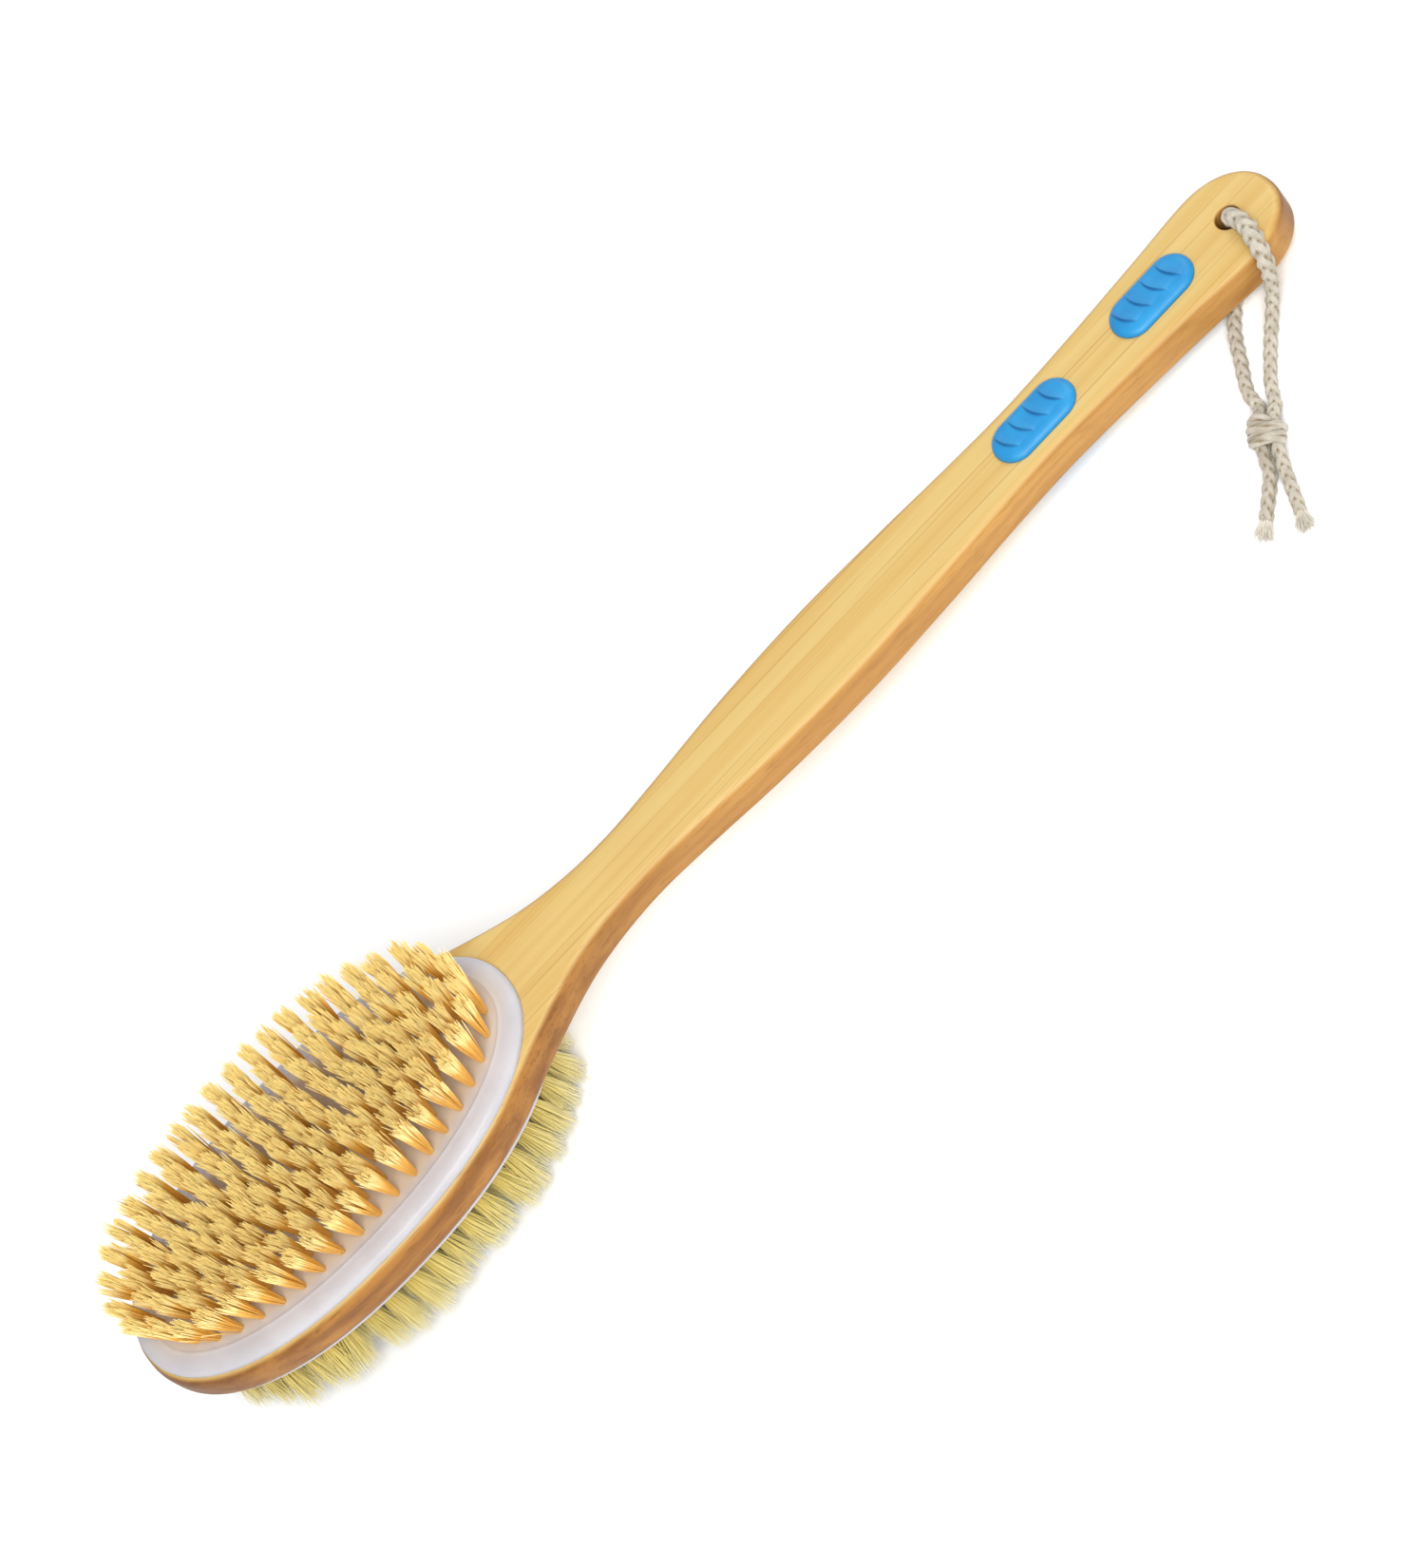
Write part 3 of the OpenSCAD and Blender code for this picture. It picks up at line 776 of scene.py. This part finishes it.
# How far a tuft reaches down into the pad.
TUFT_ROOT = 1.3
GOLDEN_ANGLE = math.pi * (3 - math.sqrt(5))


def tuft_places(k):
    """Root positions and directions of ring k's tufts, on the stiff side."""
    if k == RINGS - 1:
        x = (np.arange(LINE_COUNT) - (LINE_COUNT - 1) / 2) * LINE_PITCH
        return np.stack([x, np.zeros(LINE_COUNT)], -1), np.tile([0.0, 0, 1], (LINE_COUNT, 1))
    a, b = RING_A - k * RING_GAP, RING_B - k * RING_GAP
    around = superellipse(a, b, np.linspace(0, 2 * math.pi, 181))
    run = np.concatenate([[0], np.cumsum(np.linalg.norm(np.diff(around, axis=0), axis=1))])
    count = int(round(run[-1] / TUFT_PITCH))
    at = run[-1] * (np.arange(count) + 0.25 + 0.5 * (k % 2)) / count
    spots = np.stack([np.interp(at, run, around[:, 0]), np.interp(at, run, around[:, 1])], -1)
    way = np.arctan2(spots[:, 1] / b**2, spots[:, 0] / a**2 * END_PULL)
    lean = math.radians(LEANS[k])
    outward = math.sin(lean) * np.stack([np.cos(way), np.sin(way)], -1)
    return spots, np.column_stack([outward, np.full(count, math.cos(lean))])


def disc(count, local):
    """Even spots in a unit disc, a little disordered."""
    r = np.sqrt((np.arange(count) + 0.5) / count)
    t = GOLDEN_ANGLE * np.arange(count) + local.uniform(0, 6.28)
    spots = np.stack([r * np.cos(t), r * np.sin(t)], -1)
    return spots + local.normal(0, 0.06, spots.shape)


def tuft(place, way, style, local):
    """One tuft of tapered, slightly wavy bristles: their paths, radii and shades.

    A shade is from 0 to 1, or -1 for a dark bristle.
    """
    up = unit(way + np.append(local.normal(0, style["stray"], 2), 0))
    e1 = unit(np.cross(up, (0, 1, 0)))
    e2 = np.cross(up, e1)
    n = style["count"]
    spots = disc(n, local)
    clumps = local.normal(0, 0.55, (style["clumps"], 2))
    near = clumps[np.argmin(((spots[:, None] - clumps[None]) ** 2).sum(-1), 1)]
    tips = spots + (near - spots) * style["gather"]
    width = style["tip_r"] * local.uniform(0.92, 1.08)
    loose = local.uniform(0, 1, (n, 1)) < style["loose"]
    tips = tips * np.where(loose, local.uniform(1.1, 1.5, (n, 1)), 1) + local.normal(0, 0.07, tips.shape)
    length = style["length"] * local.uniform(0.985, 1.015) * (1 - local.uniform(0, style["uneven"], n))
    length = length * (1 - style["dome"] * (spots**2).sum(-1))
    wave = local.normal(0, style["wave"], (n, 2))
    base = np.array([place[0], place[1], PAD_TOP - FIELD_DROP])
    rows = []
    for t in style["steps"]:
        spread = t ** style["flare"]
        flat = spots * style["root_r"] * (1 - spread) + tips * width * spread
        flat = flat + wave * math.sin(t * math.pi * 1.3) * (0.3 + t)
        height = (length + TUFT_ROOT) * t - TUFT_ROOT
        rows.append(base + e1 * flat[:, :1] + e2 * flat[:, 1:] + up * height[:, None])
    radii = np.array(style["radii"]) * local.uniform(0.75, 1.2, (n, 1))
    shade = local.uniform(0, 1, n) * 0.8 + local.uniform(0, 0.2)
    shade[local.uniform(0, 1, n) < style["dark"]] = -1
    return np.stack(rows, 1), radii, shade


def tuft_ring(name, node, k, side, style):
    """One ring of tufts, each a bundle of bristles of its own."""
    local = np.random.default_rng(100 * (k + 1) + (0 if side > 0 else 7))
    tufts = [tuft(place, way, style, local) for place, way in zip(*tuft_places(k))]
    paths, radii, shades = (np.concatenate(values) for values in zip(*tufts))
    points, faces = fibres(paths, radii)
    points = above_table(laid(on_side(points, side)), 0.25 * MM)
    along = np.tile(np.repeat(style["steps"], THREAD_SIDES), len(paths))
    shade = np.repeat(shades, THREAD_SIDES * len(style["steps"]))
    return build(name, points, faces, style["slot"], node, attributes={"along": along, "tone": shade},
                 crease=FIBRE_CREASE)


# A tuft spreads from root_r to tip_r, and its bristles' radii are given at steps of their length.
# gather, loose, uneven, dome and dark are shares; stray and wave are how far things wander.
STIFF = {
    "slot": "stiff_bristle", "count": 118, "length": 22.4, "root_r": 0.6, "tip_r": 2.8, "flare": 0.8,
    "steps": [0, 0.12, 0.3, 0.5, 0.7, 0.87, 1], "radii": [0.13, 0.15, 0.17, 0.19, 0.2, 0.18, 0.08],
    "clumps": 5, "gather": 0.34, "loose": 0.1, "uneven": 0.16, "dome": 0.02, "wave": 0.12, "stray": 0.02,
    "dark": 0.03,
}
SOFT = {
    "slot": "soft_bristle", "count": 140, "length": 25.8, "root_r": 0.9, "tip_r": 3.8, "flare": 0.75,
    "steps": [0, 0.25, 0.5, 0.75, 1], "radii": [0.14, 0.16, 0.16, 0.14, 0.06],
    "clumps": 4, "gather": 0.06, "loose": 0.2, "uneven": 0.18, "dome": 0.05, "wave": 0.26, "stray": 0.05,
    "dark": 0.0,
}


# ---------------------------------------------------------------- grips
GRIP_H = 1.9
GRIP_LOW = 0.35
GRIP_CROWN = 0.12
GRIP_ROUND = 2.6
GRIP_HALF = (GRIP_L - GRIP_W) / 2
# Crescents: each rises at a lip, bent back by RIDGE_BOW at the ends of its chord, and slopes away.
RIDGES = 4
RIDGE_PITCH = 5.6
RIDGE_SKEW = math.radians(19)
RIDGE_AT = (-0.5, 0.8)
RIDGE_BOW = 1.25
RIDGE_FADE = 1.6
CHORD = 8.8
LIP_H = 1.0
# Width of the painted shade in the crease at the foot of each lip.
CREASE_SHADE_W = 0.26


def grip_skin(p):
    """Height of a grip's skin above the wood at points of its plan, and how much painted shade it gets in the
    crease at the foot of a lip.
    """
    x, y = p[:, 0], p[:, 1]
    inside = GRIP_W / 2 - np.hypot(x - np.clip(x, -GRIP_HALF, GRIP_HALF), y)
    near = np.clip(inside / GRIP_ROUND, 0, 1)
    dome = GRIP_LOW + (GRIP_H - GRIP_LOW) * np.sqrt(1 - (1 - near) ** 2)
    z = dome + GRIP_CROWN * np.clip(inside / (GRIP_W / 2), 0, 1)
    off_edge = np.clip(inside / 1.2, 0, 1)
    crease_shade = np.zeros(len(p))
    for i in range(RIDGES):
        dx = x - ((i - (RIDGES - 1) / 2) * RIDGE_PITCH + RIDGE_AT[0])
        dy = y - RIDGE_AT[1]
        along = dx * math.cos(RIDGE_SKEW) + dy * math.sin(RIDGE_SKEW)
        across = -dx * math.sin(RIDGE_SKEW) + dy * math.cos(RIDGE_SKEW)
        q = np.clip(abs(across) / (CHORD / 2), 0, 1.3)
        past = along + RIDGE_BOW - RIDGE_BOW * q**2
        fade = np.sqrt(np.clip(1 - q**2, 0, 1))
        lip = ease(-0.16, 0.1, past) * np.exp(-np.clip(past, 0, 9) / RIDGE_FADE)
        z = z + LIP_H * fade * lip * off_edge
        # Painted shade in the crease along the foot of each lip.
        crease_shade = np.maximum(crease_shade, fade * np.exp(-((past + 0.12) / CREASE_SHADE_W) ** 2) * off_edge)
    return z, crease_shade


def make_grip(name, node, x, side):
    """A rubber thumb grip: soft dome with overlapping crescents."""
    radius = GRIP_W / 2
    straight = np.linspace(-GRIP_HALF, GRIP_HALF, 90)
    flank = np.full(len(straight), radius)
    bow = np.radians(np.linspace(-90, 90, 60))
    edge = np.concatenate([
        np.stack([straight, -flank], -1),
        np.stack([GRIP_HALF + radius * np.cos(bow), radius * np.sin(bow)], -1)[1:-1],
        np.stack([straight[::-1], flank], -1),
        np.stack([-GRIP_HALF - radius * np.cos(bow), -radius * np.sin(bow)], -1)[1:-1],
    ])
    n = len(edge)
    spine = np.stack([np.clip(edge[:, 0], -GRIP_HALF, GRIP_HALF), np.zeros(n)], -1)
    rim = 1 - np.array([0, 0.006, 0.015, 0.03, 0.05, 0.075, 0.105, 0.14])
    rings = [np.column_stack([edge, np.full(n, -GRIP_SEAT)])]
    # The bottom ring gets full painted shade, which fades up the grip's foot where it meets the wood.
    crease_shades = [np.ones(n)]
    for share in np.concatenate([rim, np.linspace(0.82, 0, 34)]):
        p = spine + (edge - spine) * share
        height, crease_shade = grip_skin(p)
        rings.append(np.column_stack([p, height]))
        crease_shades.append(crease_shade)
    points = np.concatenate(rings) + (x, 0, FACE_Z)
    skin, base, _ = tube_faces(len(rings), n)
    return build(name, laid(on_side(points, side)), [skin, base], "grip_rubber", node,
                 attributes={"crease_shade": np.concatenate(crease_shades)})


# ---------------------------------------------------------------- materials
def bamboo_paint():
    """Pale bamboo, fine grain on top; sides and ends darker with edge grain and painted shade, darkest at the
    head.
    """
    p = Paint("bamboo")
    grain = p.noise((5, 1250, 1250), detail=4, rough=0.6, turn=TILT)
    bands = p.noise((5, 230, 230), detail=2, turn=TILT)
    cloud = p.noise((22, 60, 60), turn=TILT)
    dash = p.noise((110, 1700, 1700), detail=2, rough=0.6, turn=TILT)
    by_band = p.ramp(bands, [(0.35, 0.0), (0.65, 1.0)])
    specks = p.ramp(dash, [(0.55, 0.0), (0.68, 1.0)])

    top = p.ramp(bands, [
        (0.3, srgb(196, 160, 92)),
        (0.5, srgb(200, 170, 104)),
        (0.72, srgb(205, 178, 115)),
    ])
    lines = p.ramp(grain, [(0.33, 1.0), (0.43, 0.0)])
    top = p.mix(p.times(lines, 0.55), top, srgb(158, 113, 55))
    patches = p.ramp(cloud, [(0.45, 0.0), (0.75, 1.0)])
    top = p.mix(p.times(patches, 0.22), top, srgb(195, 151, 88))

    # The sides' colour: their own edge grain, made darker still as painted shade for faces turned from the
    # light.
    side = p.mix(by_band, srgb(164, 114, 52), srgb(188, 139, 71))
    side = p.mix(p.times(specks, 0.35), side, srgb(130, 82, 35))
    amber = p.mix(by_band, srgb(123, 74, 24), srgb(163, 109, 43))
    amber = p.mix(p.times(specks, 0.6), amber, srgb(99, 58, 21))
    along = p.math("ADD", p.dot(p.place(), AXES[0]), 0.5)
    at_head = p.ramp(along, [(0.42, 1.0), (0.5, 0.0)])
    side = p.mix(p.times(at_head, 0.9), side, amber)
    normal = p.add("NewGeometry", out="Normal")
    at_end = p.ramp(p.math("ABSOLUTE", p.dot(normal, AXES[0])), [(0.3, 0.0), (0.8, 1.0)])
    side = p.mix(p.times(at_end, 0.75), side, srgb(104, 58, 14))

    # Mask of the side faces, which take the side colour: real edge grain together with painted shade.
    side_grain_and_shade = p.ramp(p.math("ABSOLUTE", p.dot(normal, AXES[2])), [(0.45, 1.0), (0.97, 0.0)])
    p.set(Base_Color=p.mix(side_grain_and_shade, top, side))
    p.set(Roughness=p.ramp(cloud, [(0.3, 0.42), (0.7, 0.52)]), Specular_IOR_Level=0.32)
    p.set(Normal=p.bump(p.math("ADD", grain, p.times(dash, 0.4)), 0.00006, 0.6))
    return p.material


def pad_paint():
    """Milky plastic, with painted warm bounce light from the amber tufts where they stand."""
    p = Paint("pad_plastic")
    cloud = p.noise(70)
    base = p.ramp(cloud, [(0.35, srgb(180, 178, 182)), (0.65, srgb(188, 186, 190))])
    off_middle = p.add("VectorMath", {0: p.place(), 1: tuple(HEAD)}, operation="SUBTRACT")
    x = p.dot(off_middle, AXES[0] / (RING_A * MM))
    y = p.dot(off_middle, AXES[1] / (RING_B * MM))
    out = p.math("SQRT", p.math("ADD", p.times(x, x), p.times(y, y)))
    # Painted warm light bounced from the amber tufts, over the tufted field.
    tuft_bounce_glow = p.ramp(p.times(out, 0.5), [(0.49, 1.0), (0.58, 0.0)], "EASE")
    p.set(Base_Color=p.mix(p.times(tuft_bounce_glow, 0.75), base, srgb(206, 184, 152)))
    p.set(Roughness=p.ramp(cloud, [(0.3, 0.3), (0.7, 0.4)]), IOR=1.46, Specular_IOR_Level=0.14)
    p.set(Subsurface_Weight=0.35, Subsurface_Radius=(1.0, 0.75, 0.7), Subsurface_Scale=0.003)
    p.set(Coat_Weight=0.08, Coat_Roughness=0.05)
    p.set(Normal=p.bump(p.noise(900, detail=2), 0.00002, 0.25))
    return p.material


def bristle_paint(name, stops, dark, streak):
    """Bristles coloured from root to tip, each a shade of its own."""
    p = Paint(name)
    tone = p.field("tone")
    grain = p.noise(300, detail=2)
    along = p.math("ADD", p.field("along"), p.math("MULTIPLY_ADD", grain, 0.3, -0.15))
    colour = p.ramp(along, [(at, srgb(*seen)) for at, seen in stops])
    streaked = p.ramp(tone, [(0.0, 1.0), (0.7, 0.0)])
    colour = p.mix(p.times(streaked, 0.3), colour, srgb(*streak))
    is_dark = p.math("LESS_THAN", tone, -0.5)
    colour = p.mix(p.times(is_dark, 0.6), colour, srgb(*dark))
    p.set(Base_Color=colour, Roughness=p.math("MULTIPLY_ADD", grain, 0.2, 0.35), Specular_IOR_Level=0.4)
    p.set(Subsurface_Weight=0.08, Subsurface_Radius=(1.0, 0.8, 0.5), Subsurface_Scale=0.0012)
    return p.material


def rubber_paint():
    """Soft matte rubber, with painted shade in the creases at the foot of its crescents and where it meets
    the wood.
    """
    p = Paint("grip_rubber")
    cloud = p.noise(160)
    skin = p.noise(4200, rough=0.6)
    blue = p.ramp(cloud, [(0.3, srgb(14, 124, 183)), (0.7, srgb(22, 139, 196))])
    # The dark blue is painted shade, laid where the mesh carries its crease shade.
    p.set(Base_Color=p.mix(p.times(p.field("crease_shade"), 0.8), blue, srgb(5, 74, 129)))
    p.set(Roughness=p.ramp(skin, [(0.3, 0.42), (0.7, 0.56)]), Sheen_Weight=0.1, Sheen_Roughness=0.4)
    p.set(Normal=p.bump(skin, 0.00003, 0.5))
    return p.material


def cotton_paint():
    """Natural cotton, with painted shade between its strands, and palest where it is frayed."""
    p = Paint("rope_cotton")
    depth = p.field("depth")
    thread = p.noise(3800, rough=0.7)
    pale = p.ramp(p.noise(260), [(0.35, srgb(174, 166, 150)), (0.6, srgb(194, 187, 173))])
    # Painted shade in the grooves between the strands.
    groove_shade = p.ramp(depth, [(0.2, 1.0), (0.75, 0.0)])
    colour = p.mix(groove_shade, pale, srgb(136, 120, 94))
    gaps = p.ramp(thread, [(0.42, 1.0), (0.55, 0.0)])
    colour = p.mix(p.times(gaps, 0.35), colour, srgb(142, 130, 110))
    frayed = p.math("GREATER_THAN", depth, (1 + FRAY_DEPTH) / 2)
    colour = p.mix(frayed, colour, srgb(208, 201, 186))
    p.set(Base_Color=colour, Roughness=p.math("MULTIPLY_ADD", thread, 0.15, 0.78))
    p.set(Sheen_Weight=0.25, Sheen_Roughness=0.5, Specular_IOR_Level=0.25)
    p.set(Normal=p.bump(thread, 0.00009, 0.8))
    return p.material


def give(paint, *pieces):
    """Put one material on some pieces."""
    for piece in pieces:
        piece.data.materials.clear()
        piece.data.materials.append(paint)


BAMBOO = bamboo_paint()
PLASTIC = pad_paint()
RUBBER = rubber_paint()
COTTON = cotton_paint()
AMBER = bristle_paint(
    "stiff_bristle",
    stops=[(0.0, (228, 178, 92)), (0.35, (222, 158, 58)), (0.62, (236, 182, 74)), (0.86, (252, 234, 158))],
    dark=(170, 110, 44),
    streak=(250, 184, 66),
)
STRAW = bristle_paint(
    "soft_bristle",
    stops=[(0.0, (214, 186, 96)), (0.4, (224, 204, 120)), (0.8, (232, 220, 158)), (1.0, (236, 230, 198))],
    dark=(170, 142, 80),
    streak=(218, 194, 98),
)

give(COTTON, knot, front, front_fray, back, back_fray)
give(BAMBOO, make_handle())
give(PLASTIC, make_pad("pad_stiff_side", "stiff_bristle_pad", 1))
give(PLASTIC, make_pad("pad_soft_side", "soft_bristle_pad", -1))
for k in range(RINGS):
    for kind, side, paint, style in (("stiff", 1, AMBER, STIFF), ("soft", -1, STRAW, SOFT)):
        give(paint, tuft_ring(f"{kind}_bristles_{k + 1}", f"{kind}_tufts_ring_{k + 1}", k, side, style))
for end, grip_x in zip(("front", "rear"), GRIP_X):
    for face, side in (("top", 1), ("under", -1)):
        give(RUBBER, make_grip(f"thumb_grip_{face}_{end}", f"grip_{face}_{end}", grip_x, side))


# ---------------------------------------------------------------- studio
FLOOR_HALF_M = 4


def make_floor():
    """A plain pale floor."""
    corners = np.array([[-1, -1, 0], [1, -1, 0], [1, 1, 0], [-1, 1, 0]]) * FLOOR_HALF_M
    floor = build("floor", corners, [[[0, 1, 2, 3]]], None)
    p = Paint("studio_floor")
    p.set(Base_Color=(0.96, 0.96, 0.96, 1), Roughness=0.8, Specular_IOR_Level=0.1)
    give(p.material, floor)


def make_light(name, at, size, power):
    """A round soft light that faces the brush."""
    data = bpy.data.lights.new(name, "AREA")
    data.shape = "DISK"
    data.size = size
    data.energy = power
    light = bpy.data.objects.new(name, data)
    bpy.context.scene.collection.objects.link(light)
    light.location = at
    light.rotation_euler = (-Vector(at)).to_track_quat("-Z", "Y").to_euler()


def make_world(strength):
    """Even white light from all round."""
    world = bpy.data.worlds.new("studio")
    bpy.context.scene.world = world
    world.use_nodes = True
    background = world.node_tree.nodes["Background"]
    background.inputs["Color"].default_value = (1, 1, 1, 1)
    background.inputs["Strength"].default_value = strength


make_floor()
make_world(0.55)
make_light("side", (0.9, 0.5, 0.9), 0.5, 4)
make_light("key", (0.05, -0.95, 1.25), 0.9, 25)
bpy.context.scene.view_settings.view_transform = "Standard"
